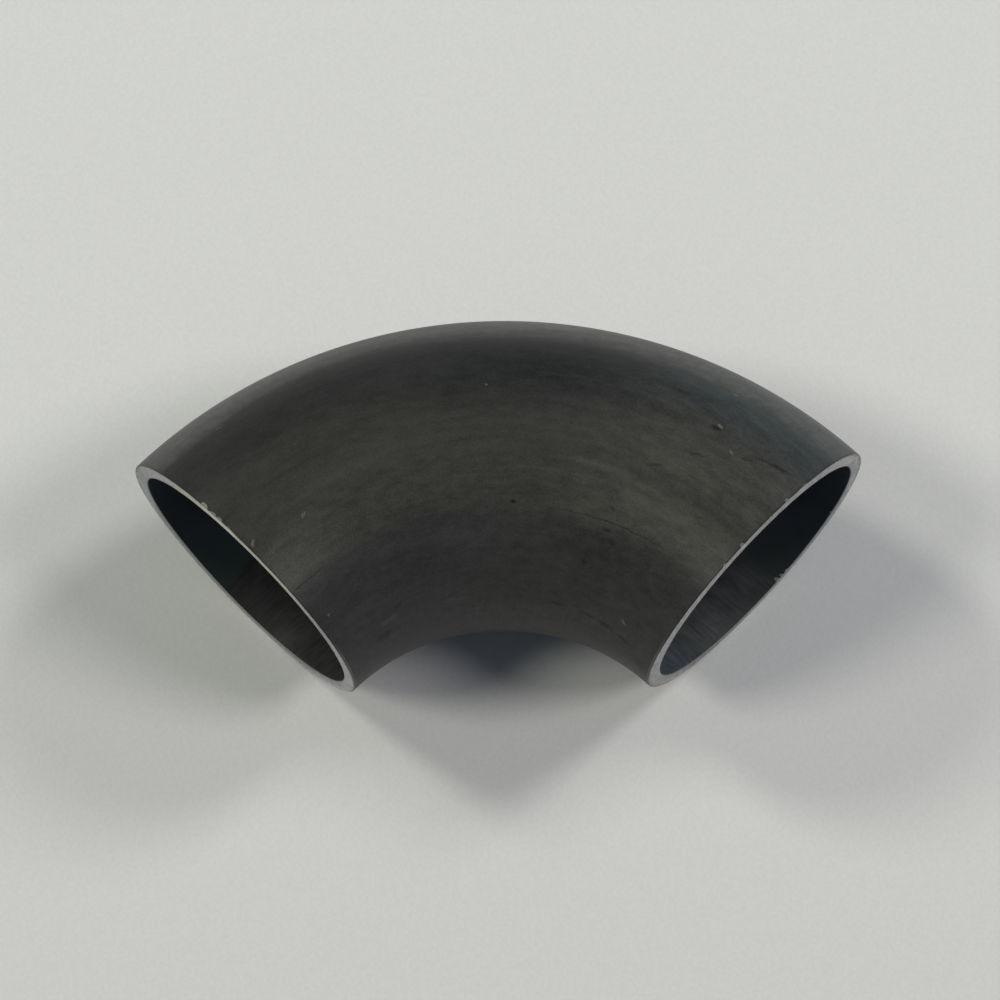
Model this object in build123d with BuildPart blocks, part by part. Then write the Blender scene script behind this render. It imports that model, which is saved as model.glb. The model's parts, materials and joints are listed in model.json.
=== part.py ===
"""Long-radius 90 degree butt-weld elbow in plain steel pipe, open at both ends.

Units are millimetres and degrees. The elbow lies flat on its side, with the
plane of the bend level. The origin is the centre of the first end face, which
looks along -Y. The pipe leaves it along +Y, turns towards -X, and its second
end face looks along -X.
"""
from build123d import *
import os

# Driving dimensions
outside_diameter = 48.3
wall_thickness = 2.6
bend_radius = 56.0
bend_angle = 90.0
outer_edge_break = 0.4
bore_edge_break = 0.2

# Sizes that follow from them
outer_radius = outside_diameter / 2
bore_radius = outer_radius - wall_thickness

bend_centre = (-bend_radius, 0, 0)
bend_axis = Axis(bend_centre, (0, 0, 1))

with BuildPart() as elbow:
    # The pipe's ring section stands on the first end face and is turned about the bend axis
    with BuildSketch(Plane.XZ):
        Circle(outer_radius)
        Circle(bore_radius, mode=Mode.SUBTRACT)
    revolve(axis=bend_axis, revolution_arc=bend_angle)

    # Both ends are cut square, and the saw's sharp edges are taken off outside and in the bore
    end_faces = elbow.faces().filter_by(GeomType.PLANE)
    outer_edges = [face.outer_wire().edge() for face in end_faces]
    chamfer(outer_edges, length=outer_edge_break)

    end_faces = elbow.faces().filter_by(GeomType.PLANE)
    bore_edges = [face.inner_wires()[0].edge() for face in end_faces]
    chamfer(bore_edges, length=bore_edge_break)

elbow.part.label = "elbow"

os.makedirs("parts", exist_ok=True)
export_step(elbow.part, "parts/elbow.step")
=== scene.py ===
"""Steel pipe elbow on a pale studio floor: one hot-formed quarter bend with saw-cut ends.

Lengths are in metres. The frame's origin is the centre of the first cut end, which looks
along -Y; the second looks along -X, and the bend's own axis stands upright behind them.
"""
import json
import math

import bmesh
import bpy
from mathutils import Matrix, Vector


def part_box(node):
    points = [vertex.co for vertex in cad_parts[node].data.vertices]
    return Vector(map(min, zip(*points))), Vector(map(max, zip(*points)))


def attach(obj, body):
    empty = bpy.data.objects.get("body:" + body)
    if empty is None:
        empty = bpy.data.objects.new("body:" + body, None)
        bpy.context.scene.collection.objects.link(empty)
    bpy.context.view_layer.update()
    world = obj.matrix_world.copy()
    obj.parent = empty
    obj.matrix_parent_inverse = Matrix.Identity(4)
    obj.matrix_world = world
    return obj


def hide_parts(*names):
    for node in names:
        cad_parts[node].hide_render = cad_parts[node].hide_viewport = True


bl_info = {
    "name": "Steel Pipe Elbow",
    "version": (1, 0, 0),
    "blender": (4, 5, 0),
    "location": "View3D > Sidebar > Elbow",
    "description": "Models a hot-formed steel pipe elbow and the studio that it is shown in",
    "category": "Add Mesh",
}

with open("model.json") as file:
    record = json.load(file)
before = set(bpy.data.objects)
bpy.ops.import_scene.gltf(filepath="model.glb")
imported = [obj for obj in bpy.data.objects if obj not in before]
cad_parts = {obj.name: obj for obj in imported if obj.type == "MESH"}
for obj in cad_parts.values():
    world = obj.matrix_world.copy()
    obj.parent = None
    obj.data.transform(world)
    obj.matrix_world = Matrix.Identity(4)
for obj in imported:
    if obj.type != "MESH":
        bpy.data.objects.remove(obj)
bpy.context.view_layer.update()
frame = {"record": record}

# Sizes that the frame gives
MOUNTS = {mount["name"]: Vector(mount["pos_m"]) for mount in frame["record"]["mounts"]}
BEND_RADIUS = abs(MOUNTS["end_b"].x)
BEND_CENTRE = Vector((-BEND_RADIUS, 0.0, 0.0))
OUTER_RADIUS = -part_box("elbow")[0].z
FLOOR_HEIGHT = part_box("elbow")[0].z
QUARTER_TURN = math.radians(90)

# Sizes of the tube itself
WALL = 0.0026
MM = 0.001

# How far the bending tool pressed the throat inwards, and over what length
THROAT_BULGE = 0.35 * MM
THROAT_PATCH = 1.5 * MM
THROAT_REACH = 14 * MM

# How far off centre the bore lies at each cut end, and how deep that reaches
BORE_SHIFT_FIRST = Vector((0.2, 0, -0.42)) * MM
BORE_SHIFT_SECOND = Vector((0, -0.25, 0.2)) * MM
BORE_SHIFT_REACH = 25 * MM

# Depth behind a cut end within which a point belongs to its rim
RIM_DEPTH = 0.12 * MM

# Round studio: how far the floor reaches, the low wall round it and the curve between the two
STUDIO_RADIUS = 5.0
STUDIO_WALL = 1.0
STUDIO_FILLET = 0.6

# Gloss of the mill scale, under half of a plain varnish's
SCALE_SHEEN = 0.2

# Camera, as found from the outline of the elbow in the photograph
CAMERA_AZIMUTH = math.radians(-43.94)
CAMERA_ELEVATION = math.radians(71.58)
CAMERA_ROLL = math.radians(-1.94)
CAMERA_DISTANCE = 0.5844
CAMERA_LENS = 134.9
CAMERA_SENSOR = 36.0
CAMERA_TARGET = Vector((-0.0191, 0.0366, 0.0))


def deselect_all():
    if bpy.context.mode != "OBJECT":
        bpy.ops.object.mode_set(mode="OBJECT")
    bpy.ops.object.select_all(action="DESELECT")


def apply_modifier(piece, kind, **settings):
    """Adds one modifier with its settings to a piece and applies it."""
    bpy.ops.object.modifier_add(type=kind)
    modifier = piece.modifiers[-1]
    for name, value in settings.items():
        setattr(modifier, name, value)
    bpy.ops.object.modifier_apply(modifier=modifier.name)


class Bench:
    """Puts nodes into a material and joins them up."""

    def __init__(self, name):
        self.material = bpy.data.materials.new(name)
        self.material.use_nodes = True
        self.tree = self.material.node_tree
        self.tree.nodes.clear()

    def node(self, kind, **settings):
        made = self.tree.nodes.new(kind)
        for name, value in settings.items():
            setattr(made, name, value)
        return made

    def feed(self, socket, value):
        if isinstance(value, bpy.types.NodeSocket):
            self.tree.links.new(value, socket)
        elif value is not None:
            socket.default_value = value

    def math(self, operation, first, second=None, third=None, clamp=False):
        made = self.node("ShaderNodeMath", operation=operation, use_clamp=clamp)
        for socket, value in zip(made.inputs, (first, second, third)):
            self.feed(socket, value)
        return made.outputs[0]

    def vector(self, operation, first, second=None):
        made = self.node("ShaderNodeVectorMath", operation=operation)
        self.feed(made.inputs[0], first)
        self.feed(made.inputs[1], second)
        return made.outputs["Vector"]

    def length(self, value):
        made = self.node("ShaderNodeVectorMath", operation="LENGTH")
        self.feed(made.inputs[0], value)
        return made.outputs["Value"]

    def split(self, value):
        made = self.node("ShaderNodeSeparateXYZ")
        self.feed(made.inputs[0], value)
        return made.outputs

    def join(self, x, y, z):
        made = self.node("ShaderNodeCombineXYZ")
        for socket, value in zip(made.inputs, (x, y, z)):
            self.feed(socket, value)
        return made.outputs[0]

    def step(self, value, low, high, to_low=0.0, to_high=1.0):
        """A smooth step: to_low where value is under low, to_high where it is over high."""
        made = self.node("ShaderNodeMapRange", interpolation_type="SMOOTHSTEP")
        for name, number in (
            ("Value", value), ("From Min", low), ("From Max", high), ("To Min", to_low), ("To Max", to_high),
        ):
            self.feed(made.inputs[name], number)
        return made.outputs["Result"]

    def mix(self, share, first, second):
        made = self.node("ShaderNodeMix", data_type="RGBA")
        self.feed(made.inputs["Factor"], share)
        self.feed(made.inputs["A"], first)
        self.feed(made.inputs["B"], second)
        return made.outputs["Result"]

    def blend(self, share, first, second):
        """A number that goes from first to second with the share."""
        made = self.node("ShaderNodeMix", data_type="FLOAT")
        self.feed(made.inputs["Factor"], share)
        self.feed(made.inputs["A"], first)
        self.feed(made.inputs["B"], second)
        return made.outputs["Result"]

    def scaled(self, colour, share):
        made = self.node("ShaderNodeVectorMath", operation="SCALE")
        self.feed(made.inputs[0], colour)
        self.feed(made.inputs["Scale"], share)
        return made.outputs["Vector"]

    def wander(self, place, size):
        """A direction that wanders about over a distance of about `size`, half a unit each way."""
        made = self.node("ShaderNodeTexNoise", noise_dimensions="3D")
        self.feed(made.inputs["Vector"], self.vector("MULTIPLY", place, (1 / size,) * 3))
        made.inputs["Scale"].default_value = 1.0
        made.inputs["Detail"].default_value = 1.0
        return self.vector("SUBTRACT", made.outputs["Color"], (0.5, 0.5, 0.5))

    def noise(self, place, size, stretch=(1, 1, 1), detail=3.0, roughness=0.5, distortion=0.0):
        """Noise whose features are about `size` across, longer along an axis with a stretch."""
        scaled = self.vector("MULTIPLY", place, tuple(1 / (size * s) for s in stretch))
        made = self.node("ShaderNodeTexNoise", noise_dimensions="3D")
        self.feed(made.inputs["Vector"], scaled)
        for name, value in (
            ("Scale", 1.0), ("Detail", detail), ("Roughness", roughness), ("Distortion", distortion),
        ):
            made.inputs[name].default_value = value
        return made.outputs["Fac"]


# Marks that the elbow carries from its handling. Each has its place along the bend from the first
# end in mm, its angle round the pipe from the top in degrees (outwards is plus), its half length
# and half width in mm, its tilt from the pipe's run in degrees, and how clearly it shows.
SMUDGES = (
    (13.9, 20.4, 0.9, 0.4, -10, 1.0),
    (4.8, 20.0, 3.4, 0.32, -16, 0.75),
    (8.0, 15.5, 1.2, 0.3, -25, 0.5),
    (14.0, 6.9, 1.6, 0.32, -18, 0.7),
    (8.6, -12.8, 0.8, 0.25, -30, 0.5),
    (18.7, -3.4, 1.3, 0.4, -20, 0.7),
    (22.7, -23.6, 0.9, 0.3, 20, 0.6),
    (22.4, -31.8, 1.1, 0.4, 3, 0.8),
    (20.8, -35.2, 1.0, 0.45, 18, 0.65),
    (41.0, -28.0, 0.8, 0.35, 0, 0.95),
    (40.3, -44.4, 1.3, 0.8, 0, 0.45),
    (25.1, -46.0, 0.8, 0.4, 0, 0.75),
    (73.0, 14.4, 0.6, 0.2, 0, 0.5),
    (36.7, 20.6, 1.0, 0.5, 0, 0.4),
    (19.8, 29.4, 1.3, 0.8, 0, 0.6),
    (61.5, 33.0, 2.0, 0.3, 3, 0.3),
    (75.5, -71.6, 3.4, 1.0, 4, 0.85),
    (69.6, -60.6, 2.0, 0.35, -25, 0.5),
    (50.6, -72.5, 1.2, 0.35, 0, 0.6),
    (29.3, -68.8, 2.5, 0.35, 0, 0.8),
    (24.4, -67.2, 1.6, 0.3, 4, 0.55),
    (21.2, -69.5, 2.6, 0.4, 8, 0.8),
    (15.7, -71.0, 2.4, 0.65, 4, 1.0),
    (9.5, -73.8, 3.0, 0.5, 9, 0.85),
    (3.7, -82.5, 2.0, 2.0, 0, 0.6),
    (84.0, -30.8, 5.0, 0.16, 0, 0.8),
    (20.0, -28.8, 17.0, 0.14, 0, 0.7),
)
SCUFFS = (
    (77.3, -11.0, 0.5, 0.22, -22, 0.32),
    (77.9, -11.4, 0.5, 0.22, -70, 0.28),
    (13.5, 22.0, 0.45, 0.28, 30, 0.4),
    (10.3, 14.4, 0.4, 0.2, 45, 0.3),
    (14.3, 41.9, 0.4, 0.25, 0, 0.3),
    (79.2, 41.0, 0.6, 0.25, 0, 0.25),
    (84.7, -46.6, 0.4, 0.25, 20, 0.4),
    (11.7, -64.4, 0.8, 0.35, 30, 0.4),
    (45.2, 16.0, 0.25, 0.2, 0, 0.3),
    (86.9, -8.0, 0.65, 0.24, -45, 0.4),
    (27.5, -10.4, 7.0, 0.6, 1, 0.10),
    (19.0, -12.5, 7.0, 0.5, 3, 0.05),
    (73.0, -65.0, 3.4, 0.5, -6, 0.07),
    (56.0, -67.0, 6.0, 0.4, 2, 0.04),
)
# Bright chips that the saw tore along the cut edges, outside the pipe and in its bore
CHIPS = (
    (87.95, 14.6, 0.5, 0.9, 12, 1.0),
    (87.98, 10.4, 0.3, 1.1, -6, 0.9),
    (87.97, 6.6, 0.36, 0.8, 10, 1.0),
    (87.98, 2.0, 0.2, 1.6, 0, 0.9),
    (-0.02, -11.2, 0.6, 0.5, 15, 1.0),
    (-0.02, 12.4, 0.45, 0.5, 0, 0.9),
    (-0.02, -20.5, 0.3, 0.6, 0, 0.8),
    (-0.02, 22.5, 0.25, 0.9, 0, 0.8),
)
BORE_CHIPS = (
    (0.0, 161.0, 0.9, 0.45, 25, 1.0),
    (0.0, 158.6, 0.75, 0.35, 45, 1.0),
    (0.0, 156.0, 0.3, 0.6, 0, 0.9),
    (0.0, 122.0, 0.4, 0.5, 0, 0.8),
)


def unrolled_pipe(bench):
    """The pipe's own coordinates: run along the bend, distance out from the bend's circle, height."""
    place = bench.node("ShaderNodeTexCoord").outputs["Object"]
    from_centre = bench.vector("SUBTRACT", place, tuple(BEND_CENTRE))
    x, y, z = bench.split(from_centre)
    turn = bench.math("ARCTAN2", y, x)
    run = bench.math("MULTIPLY", turn, BEND_RADIUS)
    out = bench.math("SUBTRACT", bench.length(bench.join(x, y, 0.0)), BEND_RADIUS)
    return run, out, z


def marks(bench, run, across, wander, wanted):
    """How strongly a set of marks shows at each place, from none to full."""
    place = bench.vector("ADD", bench.join(run, across, 0.0), wander)
    total = None
    for along, angle, half_length, half_width, tilt, clearness in wanted:
        mark = bench.node("ShaderNodeMapping", vector_type="TEXTURE")
        bench.feed(mark.inputs["Vector"], place)
        mark.inputs["Location"].default_value = (along * MM, math.radians(angle) * OUTER_RADIUS, 0)
        mark.inputs["Rotation"].default_value = (0, 0, math.radians(tilt))
        mark.inputs["Scale"].default_value = (half_length * MM, half_width * MM, 1)
        shown = bench.step(bench.length(mark.outputs[0]), 0.2, 1.3, clearness, 0.0)
        total = shown if total is None else bench.math("MAXIMUM", total, shown)
    return total


def hot_formed_scale(bench, place, run, angle, colours):
    """Oxide left by hot forming: broad bands round the pipe, drawn out along the bend, with painted highlights of the
    lamps, a painted sheen near the first end and a painted reflection of the floor round the outside of the bend.
    """
    drift = bench.noise(place, 0.011, (4, 1, 1), detail=2.0)
    angle = bench.math("ADD", angle, bench.math("MULTIPLY", bench.math("SUBTRACT", drift, 0.5), 9.0))
    near_first_end = bench.step(run, 0.010, 0.040, 1.0, 0.0)
    near_second_end = bench.step(run, 0.070, 0.084)
    scale = bench.mix(bench.step(run, 0.030, 0.060), colours.brown_scale, colours.grey_scale)
    scale = bench.mix(bench.step(angle, -80, -60, 1.0, 0.0), scale, colours.grey_scale)
    scale = bench.mix(bench.step(angle, -35, -26), scale, colours.olive_scale)
    # Painted highlights of the side lamps: a lighter band a little towards the throat from the top, fullest near both
    # cut ends.
    highlit = bench.math("MULTIPLY", bench.step(angle, -34, -27), bench.step(angle, -16, -8, 1.0, 0.0))
    at_ends = bench.math("MAXIMUM", near_first_end, near_second_end)
    highlit = bench.math("MULTIPLY", highlit, bench.blend(at_ends, 0.45, 1.0))
    scale = bench.mix(highlit, scale, colours.highlight_scale)

    scale = bench.mix(bench.step(angle, -6, 10), scale, colours.dim_olive_scale)
    raised = bench.math("SUBTRACT", angle, bench.step(run, 0.042, 0.078, 0.0, 10.0))
    dark_scale = bench.mix(bench.step(run, 0.045, 0.070), colours.blue_scale, colours.dark_olive_scale)
    scale = bench.mix(bench.step(raised, 4, 22), scale, dark_scale)
    # Painted sheen near the first end: lighter from a little towards the throat outwards, warm low down and bluish
    # higher up, with a teal painted sheen further out.
    pale = bench.math("MULTIPLY", bench.step(angle, -14, 2), near_first_end)
    sheen_colour = bench.mix(bench.step(angle, 16, 30), colours.highlight_scale, colours.bluish_sheen_scale)
    scale = bench.mix(bench.math("MULTIPLY", pale, 0.75), scale, sheen_colour)
    gap = bench.math("MULTIPLY", bench.step(angle, 26, 34), bench.step(run, 0.008, 0.018, 0.0, 0.5))
    scale = bench.mix(gap, scale, colours.blue_scale)
    teal_sheen = bench.math("MULTIPLY", bench.step(angle, 30, 37), bench.step(run, 0.012, 0.030, 0.8, 0.0))
    scale = bench.mix(teal_sheen, scale, colours.teal_sheen_scale)

    # Painted reflection of the pale floor round the outside of the bend: lightest between about 44 and 63 degrees,
    # bluish near the first end, and darkening to the dark olive scale towards the outline.
    floor_reflection = bench.mix(bench.step(angle, 44, 53), colours.floor_reflection, colours.bright_floor_reflection)
    floor_reflection = bench.mix(bench.step(angle, 53, 63), floor_reflection, colours.floor_reflection)
    floor_reflection = bench.mix(bench.step(run, 0.006, 0.030, 0.75, 0.0), floor_reflection, colours.bluish_floor_reflection)
    floor_reflection = bench.mix(bench.step(angle, 63, 71, 0.0, 0.8), floor_reflection, colours.dark_olive_scale)
    reflection_foot = bench.step(run, 0.070, 0.084, 40.5, 38.0)
    above_foot = bench.math("SUBTRACT", angle, reflection_foot)
    scale = bench.mix(bench.step(above_foot, 0, 5.5), scale, floor_reflection)
    underneath = bench.step(bench.math("ABSOLUTE", angle), 125, 165)
    return bench.mix(underneath, scale, colours.brown_scale)


def worn_bore(bench, place, run, out, height, colours):
    """Drawn oxide inside the pipe: navy towards the outside of the bend, worn and streaky below."""
    from_bottom = bench.math("DEGREES", bench.math("ARCTAN2", out, bench.math("MULTIPLY", height, -1.0)))
    blots = bench.noise(place, 0.0028, (1.6, 1, 1), detail=3.0, roughness=0.6)
    from_bottom = bench.math("ADD", from_bottom, bench.step(blots, 0.3, 0.7, -4.0, 4.0))
    streaks = bench.noise(place, 0.0005, (9, 1, 1), detail=3.0, roughness=0.6)
    near_first_end = bench.step(run, 0.020, 0.060, 1.0, 0.0)
    worn = bench.mix(near_first_end, colours.bore_grey, colours.bore_pale)
    at_tip = bench.math("MULTIPLY", near_first_end, bench.step(from_bottom, -44, -26, 1.0, 0.0))
    worn = bench.mix(at_tip, worn, colours.bore_blue)
    uneven = bench.math("ADD", bench.step(streaks, 0.3, 0.7, 0.78, 1.2), bench.step(blots, 0.3, 0.7, -0.2, 0.2))
    oxide = bench.mix(bench.step(from_bottom, 26, 44), colours.bore_teal, colours.bore_navy)
    return bench.mix(bench.step(from_bottom, 14, 22), bench.scaled(worn, uneven), oxide)


def sawn_steel(bench, place, from_axis, turned, near_second_end, colours):
    """The sawn face: patchy bare steel with a dark ragged rim, painted shade at the tips, and duller inside below."""
    patches = bench.noise(place, 0.0011, detail=4.0, roughness=0.65)
    saw_lines = bench.noise(place, 0.0003, (1, 1, 14), detail=2.0)
    side = bench.math("ABSOLUTE", turned)
    to_rim = bench.math("SUBTRACT", OUTER_RADIUS, from_axis)
    steel = bench.mix(bench.step(patches, 0.35, 0.65), colours.cut_steel, colours.cut_shade)
    steel = bench.mix(bench.step(saw_lines, 0.35, 0.8, 0.0, 0.4), steel, colours.cut_dark)
    warm = bench.math("MULTIPLY", bench.step(side, 20, 50, 0.9, 0.0), near_second_end)
    steel = bench.mix(warm, steel, colours.cut_warm)
    tip = bench.step(side, 50, 80)
    # Painted shade at the tips of the cut faces, mottled by the patches: on the first end at the outer tip and all
    # round the throat side, on the second end at the outer tip only.
    tip_shade = bench.blend(near_second_end, bench.step(side, 62, 76), bench.step(turned, 56, 76))
    tip_shade = bench.math("MULTIPLY", tip_shade, bench.step(turned, 88, 104, 1.0, 0.0))
    steel = bench.mix(bench.math("MULTIPLY", tip_shade, bench.step(patches, 0.35, 0.65, 0.1, 0.62)), steel, colours.cut_dark)
    inner = bench.math("MULTIPLY", bench.step(to_rim, 0.5 * WALL, 0.85 * WALL), bench.math("MULTIPLY", tip, 0.55))
    steel = bench.mix(inner, steel, colours.cut_blue)
    below = bench.step(side, 95, 120)
    inner_below = bench.math("MULTIPLY", bench.step(to_rim, 0.7 * MM, 1.7 * MM, 0.0, 0.5), below)
    steel = bench.mix(inner_below, steel, colours.cut_dark)
    reach = bench.math("MULTIPLY", bench.blend(tip, 0.22 * MM, 0.5 * MM), bench.step(patches, 0.25, 0.75, 0.5, 1.6))
    rim = bench.step(bench.math("DIVIDE", to_rim, reach), 0.6, 1.3, 0.85, 0.0)
    rim = bench.math("MULTIPLY", rim, bench.math("SUBTRACT", 1.0, bench.math("MULTIPLY", below, near_second_end)))
    return bench.mix(rim, steel, colours.cut_dark)


def mill_scale_steel(colours):
    bench = Bench("Mill scale and bare steel")
    run, out, height = unrolled_pipe(bench)
    place = bench.join(run, out, height)
    from_axis = bench.length(bench.join(0.0, out, height))
    turn = bench.math("ARCTAN2", out, height)
    turned = bench.math("DEGREES", turn)
    across = bench.math("MULTIPLY", turn, OUTER_RADIUS)
    in_bore = bench.step(from_axis, OUTER_RADIUS - 0.9 * WALL, OUTER_RADIUS - 0.6 * WALL, 1.0, 0.0)
    whole_run = BEND_RADIUS * QUARTER_TURN
    to_end = bench.math("MINIMUM", run, bench.math("SUBTRACT", whole_run, run))
    near_second_end = bench.step(run, 0.4 * whole_run, 0.6 * whole_run)

    clouds = bench.noise(place, 0.009, (3, 1, 1), detail=2.0)
    mottle = bench.noise(place, 0.0014, (2.2, 1, 1), detail=3.0, roughness=0.6)
    drawn_round = bench.noise(bench.join(run, across, 0.0), 0.0011, (1, 2.6, 1), detail=3.0, distortion=0.6)
    lines = bench.noise(place, 0.0009, (45, 1, 1), detail=2.0)
    grain = bench.noise(place, 0.00026, (1.4, 1, 1), detail=1.0)
    wander = bench.wander(place, 0.0007)
    ragged = bench.vector("MULTIPLY", wander, (0.0009, 0.0007, 0.0))
    torn = bench.vector("MULTIPLY", wander, (0.0002, 0.0004, 0.0))

    scale = hot_formed_scale(bench, place, run, turned, colours)
    uneven = bench.math("ADD", bench.step(clouds, 0.25, 0.75, 0.87, 1.13), bench.step(lines, 0.3, 0.7, -0.05, 0.05))
    rough_patch = bench.step(run, 0.015, 0.045, 1.3, 1.0)
    uneven = bench.math("ADD", uneven, bench.math("MULTIPLY", rough_patch, bench.step(mottle, 0.25, 0.75, -0.16, 0.16)))
    uneven = bench.math("ADD", uneven, bench.step(grain, 0.2, 0.8, -0.17, 0.17))
    outside = bench.math("MULTIPLY", bench.step(turned, 38, 46), bench.step(turned, 76, 92, 1.0, 0.2))
    inside = bench.math("MULTIPLY", bench.step(turned, -74, -62, 1.0, 0.0), bench.step(turned, -115, -95, 0.2, 1.0))
    at_sides = bench.math("MAXIMUM", outside, inside)
    round_streaks = bench.math("MULTIPLY", at_sides, bench.step(drawn_round, 0.25, 0.75, -0.16, 0.16))
    uneven = bench.math("ADD", uneven, round_streaks)
    smudged = marks(bench, run, across, ragged, SMUDGES)
    uneven = bench.math("MULTIPLY", uneven, bench.blend(smudged, 1.0, 0.3))
    scale = bench.scaled(scale, uneven)
    scuffed = marks(bench, run, across, ragged, SCUFFS)
    scale = bench.mix(scuffed, scale, colours.scuff)
    in_throat = bench.step(bench.math("ABSOLUTE", bench.math("ADD", turned, 92)), 22, 38, 1.0, 0.0)
    worn_edge = bench.math("MULTIPLY", bench.step(to_end, 0.5 * MM, 0.75 * MM, 1.0, 0.0), in_throat)
    scale = bench.mix(worn_edge, scale, colours.worn_edge)
    # Painted shade: a dark line on the pipe right beside each cut end.
    cut_end_shading = bench.step(to_end, 0.0, 0.4 * MM, 0.8, 0.0)
    scale = bench.mix(cut_end_shading, scale, colours.cut_end_shade)

    bore = worn_bore(bench, place, run, out, height, colours)
    skin = bench.mix(in_bore, scale, bore)

    chips = marks(bench, run, across, torn, CHIPS)
    bore_chips = marks(bench, run, across, torn, BORE_CHIPS)
    chipped = bench.step(bench.blend(in_bore, chips, bore_chips), 0.3, 0.5)
    cut = bench.math("MAXIMUM", bench.step(to_end, 0.03 * MM, 0.09 * MM, 1.0, 0.0), chipped)
    steel = sawn_steel(bench, place, from_axis, turned, near_second_end, colours)
    colour = bench.mix(cut, skin, steel)
    shader = bench.node("ShaderNodeBsdfPrincipled")
    bench.feed(shader.inputs["Base Color"], colour)
    bench.feed(shader.inputs["Metallic"], bench.math("MULTIPLY", cut, bench.blend(chipped, 0.85, 0.3)))
    matt = bench.blend(bench.step(clouds, 0.3, 0.7), 0.38, 0.46)
    bench.feed(shader.inputs["Roughness"], bench.blend(cut, matt, 0.32))
    shader.inputs["Specular IOR Level"].default_value = SCALE_SHEEN
    bump = bench.node("ShaderNodeBump")
    bump.inputs["Strength"].default_value = 0.35
    bump.inputs["Distance"].default_value = 0.00004
    bench.feed(bump.inputs["Height"], bench.math("ADD", grain, mottle))
    bench.feed(shader.inputs["Normal"], bump.outputs["Normal"])
    output = bench.node("ShaderNodeOutputMaterial")
    bench.feed(output.inputs["Surface"], shader.outputs["BSDF"])
    return bench.material


class ElbowSizes(bpy.types.PropertyGroup):
    """Sizes of the bent tube."""

    outer_radius: bpy.props.FloatProperty(
        name="Outer radius", description="Half of the pipe's outside diameter",
        default=OUTER_RADIUS, unit="LENGTH", precision=5,
    )
    wall: bpy.props.FloatProperty(
        name="Wall", description="Thickness of the pipe's wall", default=WALL, unit="LENGTH", precision=5,
    )
    outer_edge: bpy.props.FloatProperty(
        name="Outer edge", description="Width of the edge broken off outside each cut end",
        default=0.00015, unit="LENGTH", precision=5,
    )
    bore_edge: bpy.props.FloatProperty(
        name="Bore edge", description="Width of the edge broken off inside each cut end",
        default=0.00015, unit="LENGTH", precision=5,
    )
    segments: bpy.props.IntProperty(
        name="Segments", description="Faces round the pipe", default=480, min=24,
    )
    steps: bpy.props.IntProperty(
        name="Steps", description="Faces along the bend between the two cut ends", default=60, min=12,
    )


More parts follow.
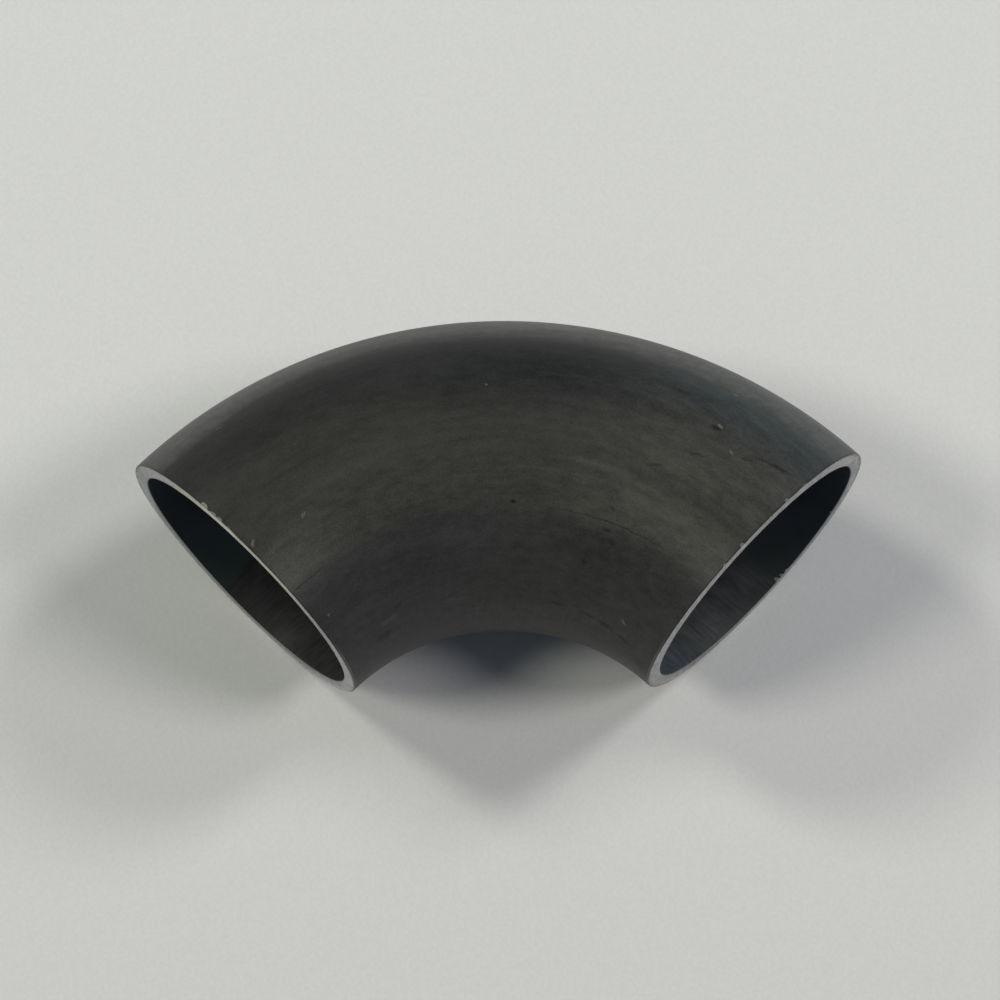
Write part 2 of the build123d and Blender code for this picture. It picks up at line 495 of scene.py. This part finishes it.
class ElbowColours(bpy.types.PropertyGroup):
    """Colours of the steel and of the floor."""

    olive_scale: bpy.props.FloatVectorProperty(
        name="Olive scale", description="Mill scale along the top of the bend", subtype="COLOR", size=4,
        default=(0.0275, 0.0285, 0.022, 1.0), min=0, max=1,
    )
    dim_olive_scale: bpy.props.FloatVectorProperty(
        name="Dim olive scale", description="Mill scale a little outwards of the top", subtype="COLOR", size=4,
        default=(0.0228, 0.0237, 0.0188, 1.0), min=0, max=1,
    )
    # Painted highlight of the lamps on the mill scale; also the warm part of the painted sheen near the first end.
    highlight_scale: bpy.props.FloatVectorProperty(
        name="Rubbed scale", description="Mill scale where handling has worn it lighter", subtype="COLOR", size=4,
        default=(0.043, 0.0445, 0.035, 1.0), min=0, max=1,
    )
    blue_scale: bpy.props.FloatVectorProperty(
        name="Blue scale", description="Thick dark scale above the outside of the bend", subtype="COLOR", size=4,
        default=(0.0172, 0.0182, 0.0172, 1.0), min=0, max=1,
    )
    # Painted bluish sheen on the scale near the first end.
    bluish_sheen_scale: bpy.props.FloatVectorProperty(
        name="Worn blue scale", description="Bluish scale worn lighter, near the first end", subtype="COLOR", size=4,
        default=(0.0365, 0.0415, 0.0412, 1.0), min=0, max=1,
    )
    dark_olive_scale: bpy.props.FloatVectorProperty(
        name="Dark olive scale", description="Thick scale above the outside of the bend, near the second end", subtype="COLOR", size=4,
        default=(0.0185, 0.019, 0.0168, 1.0), min=0, max=1,
    )
    # Painted reflection of the floor round the outside of the bend, bluish near the first end.
    bluish_floor_reflection: bpy.props.FloatVectorProperty(
        name="Blue haze", description="Bluish scale near the first end", subtype="COLOR", size=4,
        default=(0.0475, 0.0535, 0.0525, 1.0), min=0, max=1,
    )
    # Painted teal sheen along the outside of the bend, near the first end.
    teal_sheen_scale: bpy.props.FloatVectorProperty(
        name="Teal scale", description="Tempered streak along the outside of the bend, near the first end", subtype="COLOR", size=4,
        default=(0.029, 0.0385, 0.0405, 1.0), min=0, max=1,
    )
    # Painted reflection of the floor round the outside of the bend.
    floor_reflection: bpy.props.FloatVectorProperty(
        name="Haze", description="Light scale round the outside of the bend", subtype="COLOR", size=4,
        default=(0.0425, 0.043, 0.0395, 1.0), min=0, max=1,
    )
    # Painted reflection of the floor at its lightest, a little above the outside of the bend.
    bright_floor_reflection: bpy.props.FloatVectorProperty(
        name="Pale haze", description="Lightest scale, a little above the outside of the bend", subtype="COLOR", size=4,
        default=(0.0565, 0.057, 0.052, 1.0), min=0, max=1,
    )
    brown_scale: bpy.props.FloatVectorProperty(
        name="Brown scale", description="Mill scale towards the throat", subtype="COLOR", size=4,
        default=(0.0285, 0.0283, 0.0255, 1.0), min=0, max=1,
    )
    grey_scale: bpy.props.FloatVectorProperty(
        name="Grey scale", description="Mill scale in the throat", subtype="COLOR", size=4,
        default=(0.0275, 0.0273, 0.0265, 1.0), min=0, max=1,
    )
    worn_edge: bpy.props.FloatVectorProperty(
        name="Worn edge", description="Outer edge of the cut ends in the throat", subtype="COLOR", size=4,
        default=(0.085, 0.082, 0.08, 1.0), min=0, max=1,
    )
    # Painted shade on the pipe right beside each cut end.
    cut_end_shade: bpy.props.FloatVectorProperty(
        name="Smudge", description="Darkest scale, under the cut edges", subtype="COLOR", size=4,
        default=(0.012, 0.012, 0.011, 1.0), min=0, max=1,
    )
    scuff: bpy.props.FloatVectorProperty(
        name="Scuff", description="Light scuffs", subtype="COLOR", size=4,
        default=(0.2, 0.205, 0.185, 1.0), min=0, max=1,
    )
    bore_navy: bpy.props.FloatVectorProperty(
        name="Navy bore", description="Tempered oxide in the bore towards the outside of the bend", subtype="COLOR", size=4,
        default=(0.0235, 0.032, 0.039, 1.0), min=0, max=1,
    )
    bore_teal: bpy.props.FloatVectorProperty(
        name="Teal bore", description="Tempered oxide in the bore between the navy and the worn part", subtype="COLOR", size=4,
        default=(0.0215, 0.0305, 0.03, 1.0), min=0, max=1,
    )
    bore_grey: bpy.props.FloatVectorProperty(
        name="Grey bore", description="Worn oxide in the bore near the second end", subtype="COLOR", size=4,
        default=(0.0235, 0.024, 0.0228, 1.0), min=0, max=1,
    )
    bore_pale: bpy.props.FloatVectorProperty(
        name="Pale bore", description="Worn oxide in the bore near the first end", subtype="COLOR", size=4,
        default=(0.0375, 0.0425, 0.0415, 1.0), min=0, max=1,
    )
    bore_blue: bpy.props.FloatVectorProperty(
        name="Blue bore", description="Bluish worn oxide in the bore at the throat of the first end", subtype="COLOR", size=4,
        default=(0.046, 0.0545, 0.063, 1.0), min=0, max=1,
    )
    cut_steel: bpy.props.FloatVectorProperty(
        name="Cut steel", description="Bare steel of the cut ends", subtype="COLOR", size=4,
        default=(0.55, 0.55, 0.53, 1.0), min=0, max=1,
    )
    cut_shade: bpy.props.FloatVectorProperty(
        name="Cut shade", description="Duller patches of the cut ends", subtype="COLOR", size=4,
        default=(0.33, 0.33, 0.335, 1.0), min=0, max=1,
    )
    # Also the colour of the painted shade at the tips of the cut faces.
    cut_dark: bpy.props.FloatVectorProperty(
        name="Dark rim", description="Oxide on the rim and in the saw lines of the cut ends", subtype="COLOR", size=4,
        default=(0.1, 0.098, 0.102, 1.0), min=0, max=1,
    )
    cut_warm: bpy.props.FloatVectorProperty(
        name="Warm steel", description="Yellowish steel along the top of the second end", subtype="COLOR", size=4,
        default=(0.7, 0.68, 0.53, 1.0), min=0, max=1,
    )
    cut_blue: bpy.props.FloatVectorProperty(
        name="Blue steel", description="Bluish steel beside the bore", subtype="COLOR", size=4,
        default=(0.3, 0.31, 0.345, 1.0), min=0, max=1,
    )
    floor: bpy.props.FloatVectorProperty(
        name="Floor", description="Matt pale floor behind the elbow", subtype="COLOR", size=4,
        default=(0.605, 0.613, 0.575, 1.0), min=0, max=1,
    )
    floor_near: bpy.props.FloatVectorProperty(
        name="Near floor", description="Matt pale floor on the camera's side", subtype="COLOR", size=4,
        default=(0.54, 0.545, 0.51, 1.0), min=0, max=1,
    )


def select_only(piece):
    deselect_all()
    piece.select_set(True)
    bpy.context.view_layer.objects.active = piece


def select_edges(piece, wanted):
    """Selects the edges of the piece, in edit mode, whose two ends both pass the test."""
    bpy.ops.mesh.select_mode(type="EDGE")
    bpy.ops.mesh.select_all(action="DESELECT")
    mesh = bmesh.from_edit_mesh(piece.data)
    for edge in mesh.edges:
        edge.select = all(wanted(vertex.co) for vertex in edge.verts)
    bmesh.update_edit_mesh(piece.data)


def at_end(place):
    return min(abs(place.y), abs(place.x + BEND_RADIUS)) < 0.01 * MM


def square_up_ends(piece):
    """Presses each end's rim flat against its cutting plane."""
    for centre, scale, depth in (
        (MOUNTS["end_a"], (1, 0, 1), lambda place: place.y),
        (MOUNTS["end_b"], (0, 1, 1), lambda place: place.x + BEND_RADIUS),
    ):
        select_edges(piece, lambda place: abs(depth(place)) < RIM_DEPTH)
        bpy.ops.transform.resize(value=scale, center_override=centre)


def press_throat(piece):
    """Brings the middle of the throat a little nearer the bend's axis, as the bending tool left it."""
    outwards = Vector((1, 1, 0)).normalized()
    middle = BEND_CENTRE + outwards * (BEND_RADIUS - OUTER_RADIUS)
    select_edges(piece, lambda place: (place - middle).length < THROAT_PATCH)
    bpy.ops.transform.translate(
        value=-outwards * THROAT_BULGE, use_proportional_edit=True,
        proportional_edit_falloff="SMOOTH", proportional_size=THROAT_REACH,
    )


def shift_bore(piece, middle):
    """Sets the bore a little off centre at both cut ends, as in pipe whose wall is uneven."""
    select_edges(piece, lambda place: from_axis(place) > middle)
    bpy.ops.mesh.select_mode(type="VERT")
    bpy.ops.mesh.hide()
    for end, shift in ((MOUNTS["end_a"], BORE_SHIFT_FIRST), (MOUNTS["end_b"], BORE_SHIFT_SECOND)):
        select_edges(
            piece, lambda place: at_end(place) and from_axis(place) < middle and (place - end).length < OUTER_RADIUS,
        )
        bpy.ops.transform.translate(
            value=shift, use_proportional_edit=True,
            proportional_edit_falloff="SMOOTH", proportional_size=BORE_SHIFT_REACH,
        )
    bpy.ops.mesh.reveal(select=False)


def roughen_cut_edges(piece, middle):
    """Wobbles the outlines of the flat cut faces a little, as a saw leaves them."""
    for wobble, seed, wanted in (
        (0.07 * MM, 3, lambda place: at_end(place) and from_axis(place) > middle),
        (0.06 * MM, 8, lambda place: at_end(place) and from_axis(place) < middle),
    ):
        select_edges(piece, wanted)
        bpy.ops.transform.vertex_random(offset=wobble, uniform=0.0, normal=0.0, seed=seed)
    square_up_ends(piece)


def from_axis(place):
    """Distance of a point from the pipe's curved centreline."""
    out = math.hypot(place.x + BEND_RADIUS, place.y) - BEND_RADIUS
    return math.hypot(out, place.z)


class ELBOW_OT_bend(bpy.types.Operator):
    """Bend the steel tube and cut its ends"""

    bl_idname = "elbow.bend"
    bl_label = "Elbow"

    def execute(self, context):
        sizes = context.scene.elbow_sizes
        deselect_all()
        middle = sizes.outer_radius - sizes.wall / 2
        bpy.ops.mesh.primitive_circle_add(
            vertices=sizes.segments, radius=sizes.outer_radius, fill_type="NOTHING",
            location=(0, 0, 0), rotation=(QUARTER_TURN, 0, 0),
        )
        elbow = context.active_object
        elbow.name = elbow.data.name = "pipe_elbow"
        bpy.ops.object.transform_apply(location=True, rotation=True, scale=True)
        bpy.ops.object.mode_set(mode="EDIT")
        bpy.ops.mesh.select_all(action="SELECT")
        end_steps, end_length = 4, 4 * MM
        end_turn = end_length / BEND_RADIUS
        for steps, turn in (
            (end_steps, end_turn), (sizes.steps, QUARTER_TURN - 2 * end_turn), (end_steps, end_turn),
        ):
            bpy.ops.mesh.spin(steps=steps, angle=turn, center=BEND_CENTRE, axis=(0, 0, -1))
        bpy.ops.mesh.select_all(action="SELECT")
        bpy.ops.mesh.normals_make_consistent(inside=False)
        press_throat(elbow)
        bpy.ops.object.mode_set(mode="OBJECT")
        apply_modifier(
            elbow, "SOLIDIFY", thickness=sizes.wall, offset=-1, use_even_offset=True, use_rim=True,
        )
        bpy.ops.object.mode_set(mode="EDIT")
        square_up_ends(elbow)
        shift_bore(elbow, middle)
        select_edges(elbow, lambda place: at_end(place) and from_axis(place) > middle)
        bpy.ops.mesh.bevel(offset=sizes.outer_edge, segments=1, affect="EDGES")
        select_edges(elbow, lambda place: at_end(place) and from_axis(place) < middle)
        bpy.ops.mesh.bevel(offset=sizes.bore_edge, segments=1, affect="EDGES")
        roughen_cut_edges(elbow, middle)
        bpy.ops.object.mode_set(mode="OBJECT")
        bpy.ops.object.shade_smooth_by_angle(angle=math.radians(28))
        elbow.data.materials.append(mill_scale_steel(context.scene.elbow_colours))
        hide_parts("elbow")
        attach(elbow, "root")
        return {"FINISHED"}


def pale_floor(colours):
    """A matt pale sheet, a touch darker on the camera's side of the elbow."""
    bench = Bench("Pale floor")
    place = bench.node("ShaderNodeTexCoord").outputs["Object"]
    away = bench.node("ShaderNodeVectorMath", operation="DOT_PRODUCT")
    bench.feed(away.inputs[0], place)
    away.inputs[1].default_value = (-math.sin(CAMERA_AZIMUTH), math.cos(CAMERA_AZIMUTH), 0)
    colour = bench.mix(bench.step(away.outputs["Value"], -0.11, 0.12), colours.floor_near, colours.floor)
    paper = bench.noise(place, 0.0006, detail=2.0)
    shader = bench.node("ShaderNodeBsdfPrincipled")
    bench.feed(shader.inputs["Base Color"], bench.scaled(colour, bench.step(paper, 0.3, 0.7, 0.978, 1.022)))
    shader.inputs["Roughness"].default_value = 0.7
    shader.inputs["Specular IOR Level"].default_value = 0.1
    output = bench.node("ShaderNodeOutputMaterial")
    bench.feed(output.inputs["Surface"], shader.outputs["BSDF"])
    return bench.material


def from_camera_side(azimuth, elevation):
    """A direction from a bearing, counted from the camera's side to its right, and a height, in degrees."""
    turn, rise = CAMERA_AZIMUTH + math.radians(azimuth), math.radians(elevation)
    return Vector((math.sin(turn) * math.cos(rise), -math.cos(turn) * math.cos(rise), math.sin(rise)))


def add_lamp(name, azimuth, elevation, width, strength, colour):
    """A far lamp that looks `width` degrees wide from the elbow; strength 3.14 gives full daylight level."""
    towards = from_camera_side(azimuth, elevation)
    bpy.ops.object.light_add(type="SUN", location=CAMERA_TARGET + towards)
    lamp = bpy.context.active_object
    lamp.name = name
    lamp.rotation_euler = towards.to_track_quat("Z", "Y").to_euler()
    lamp.data.angle = math.radians(width)
    lamp.data.energy = strength
    lamp.data.color = colour
    return lamp


class ELBOW_OT_studio(bpy.types.Operator):
    """Lay the pale floor, hang the lamps and set up the camera"""

    bl_idname = "elbow.studio"
    bl_label = "Studio"

    def execute(self, context):
        deselect_all()
        bpy.ops.mesh.primitive_circle_add(
            vertices=96, radius=STUDIO_RADIUS, fill_type="NGON", location=(0, 0, FLOOR_HEIGHT),
        )
        floor = context.active_object
        floor.name = "floor"
        bpy.ops.object.transform_apply(location=True)
        bpy.ops.object.mode_set(mode="EDIT")
        at_floor = lambda place: math.hypot(place.x, place.y) > 0.9 * STUDIO_RADIUS and place.z < 0
        select_edges(floor, at_floor)
        bpy.ops.mesh.extrude_region_move(TRANSFORM_OT_translate={"value": (0, 0, STUDIO_WALL)})
        select_edges(floor, at_floor)
        bpy.ops.mesh.bevel(offset=STUDIO_FILLET, segments=12, affect="EDGES")
        bpy.ops.object.mode_set(mode="OBJECT")
        bpy.ops.object.shade_smooth_by_angle(angle=math.radians(28))
        floor.data.materials.append(pale_floor(context.scene.elbow_colours))

        add_lamp("left lamp", 277, 51, 14.5, 1.035, (1.0, 0.985, 0.905))
        add_lamp("right lamp", 81, 48, 16, 1.075, (1.0, 0.955, 1.0))
        add_lamp("back left lamp", 234, 46, 12.5, 0.94, (1.0, 0.995, 0.915))
        add_lamp("back right lamp", 122, 44, 14.5, 1.015, (0.98, 0.98, 1.0))

        world = bpy.data.worlds.new("Soft room")
        world.use_nodes = True
        context.scene.world = world
        background = world.node_tree.nodes["Background"]
        background.inputs["Color"].default_value = (0.6, 0.72, 1.0, 1.0)
        background.inputs["Strength"].default_value = 0.16

        towards = Vector((
            math.sin(CAMERA_AZIMUTH) * math.cos(CAMERA_ELEVATION),
            -math.cos(CAMERA_AZIMUTH) * math.cos(CAMERA_ELEVATION),
            math.sin(CAMERA_ELEVATION),
        ))
        bpy.ops.object.camera_add(location=CAMERA_TARGET + towards * CAMERA_DISTANCE)
        camera = context.active_object
        camera.name = "photo camera"
        level = (-towards).to_track_quat("-Z", "Y").to_matrix()
        camera.rotation_euler = (level @ Matrix.Rotation(CAMERA_ROLL, 3, "Z")).to_euler()
        camera.data.lens = CAMERA_LENS
        camera.data.sensor_width = CAMERA_SENSOR
        camera.data.clip_start = 0.01
        context.scene.camera = camera
        context.scene.view_settings.view_transform = "Standard"
        return {"FINISHED"}


class ELBOW_PT_panel(bpy.types.Panel):
    """The elbow's sizes, colours and steps"""

    bl_idname = "ELBOW_PT_panel"
    bl_label = "Steel pipe elbow"
    bl_space_type = "VIEW_3D"
    bl_region_type = "UI"
    bl_category = "Elbow"

    def draw(self, context):
        for group in (context.scene.elbow_sizes, context.scene.elbow_colours):
            for name in group.__annotations__:
                self.layout.prop(group, name)
        for operator in OPERATORS:
            self.layout.operator(operator.bl_idname)


OPERATORS = (ELBOW_OT_bend, ELBOW_OT_studio)
CLASSES = (ElbowSizes, ElbowColours, *OPERATORS, ELBOW_PT_panel)


def register():
    for made in CLASSES:
        bpy.utils.register_class(made)
    bpy.types.Scene.elbow_sizes = bpy.props.PointerProperty(type=ElbowSizes)
    bpy.types.Scene.elbow_colours = bpy.props.PointerProperty(type=ElbowColours)


def unregister():
    del bpy.types.Scene.elbow_colours
    del bpy.types.Scene.elbow_sizes
    for made in reversed(CLASSES):
        bpy.utils.unregister_class(made)


def main():
    register()
    bpy.ops.elbow.bend()
    bpy.ops.elbow.studio()


if __name__ == "__main__":
    main()
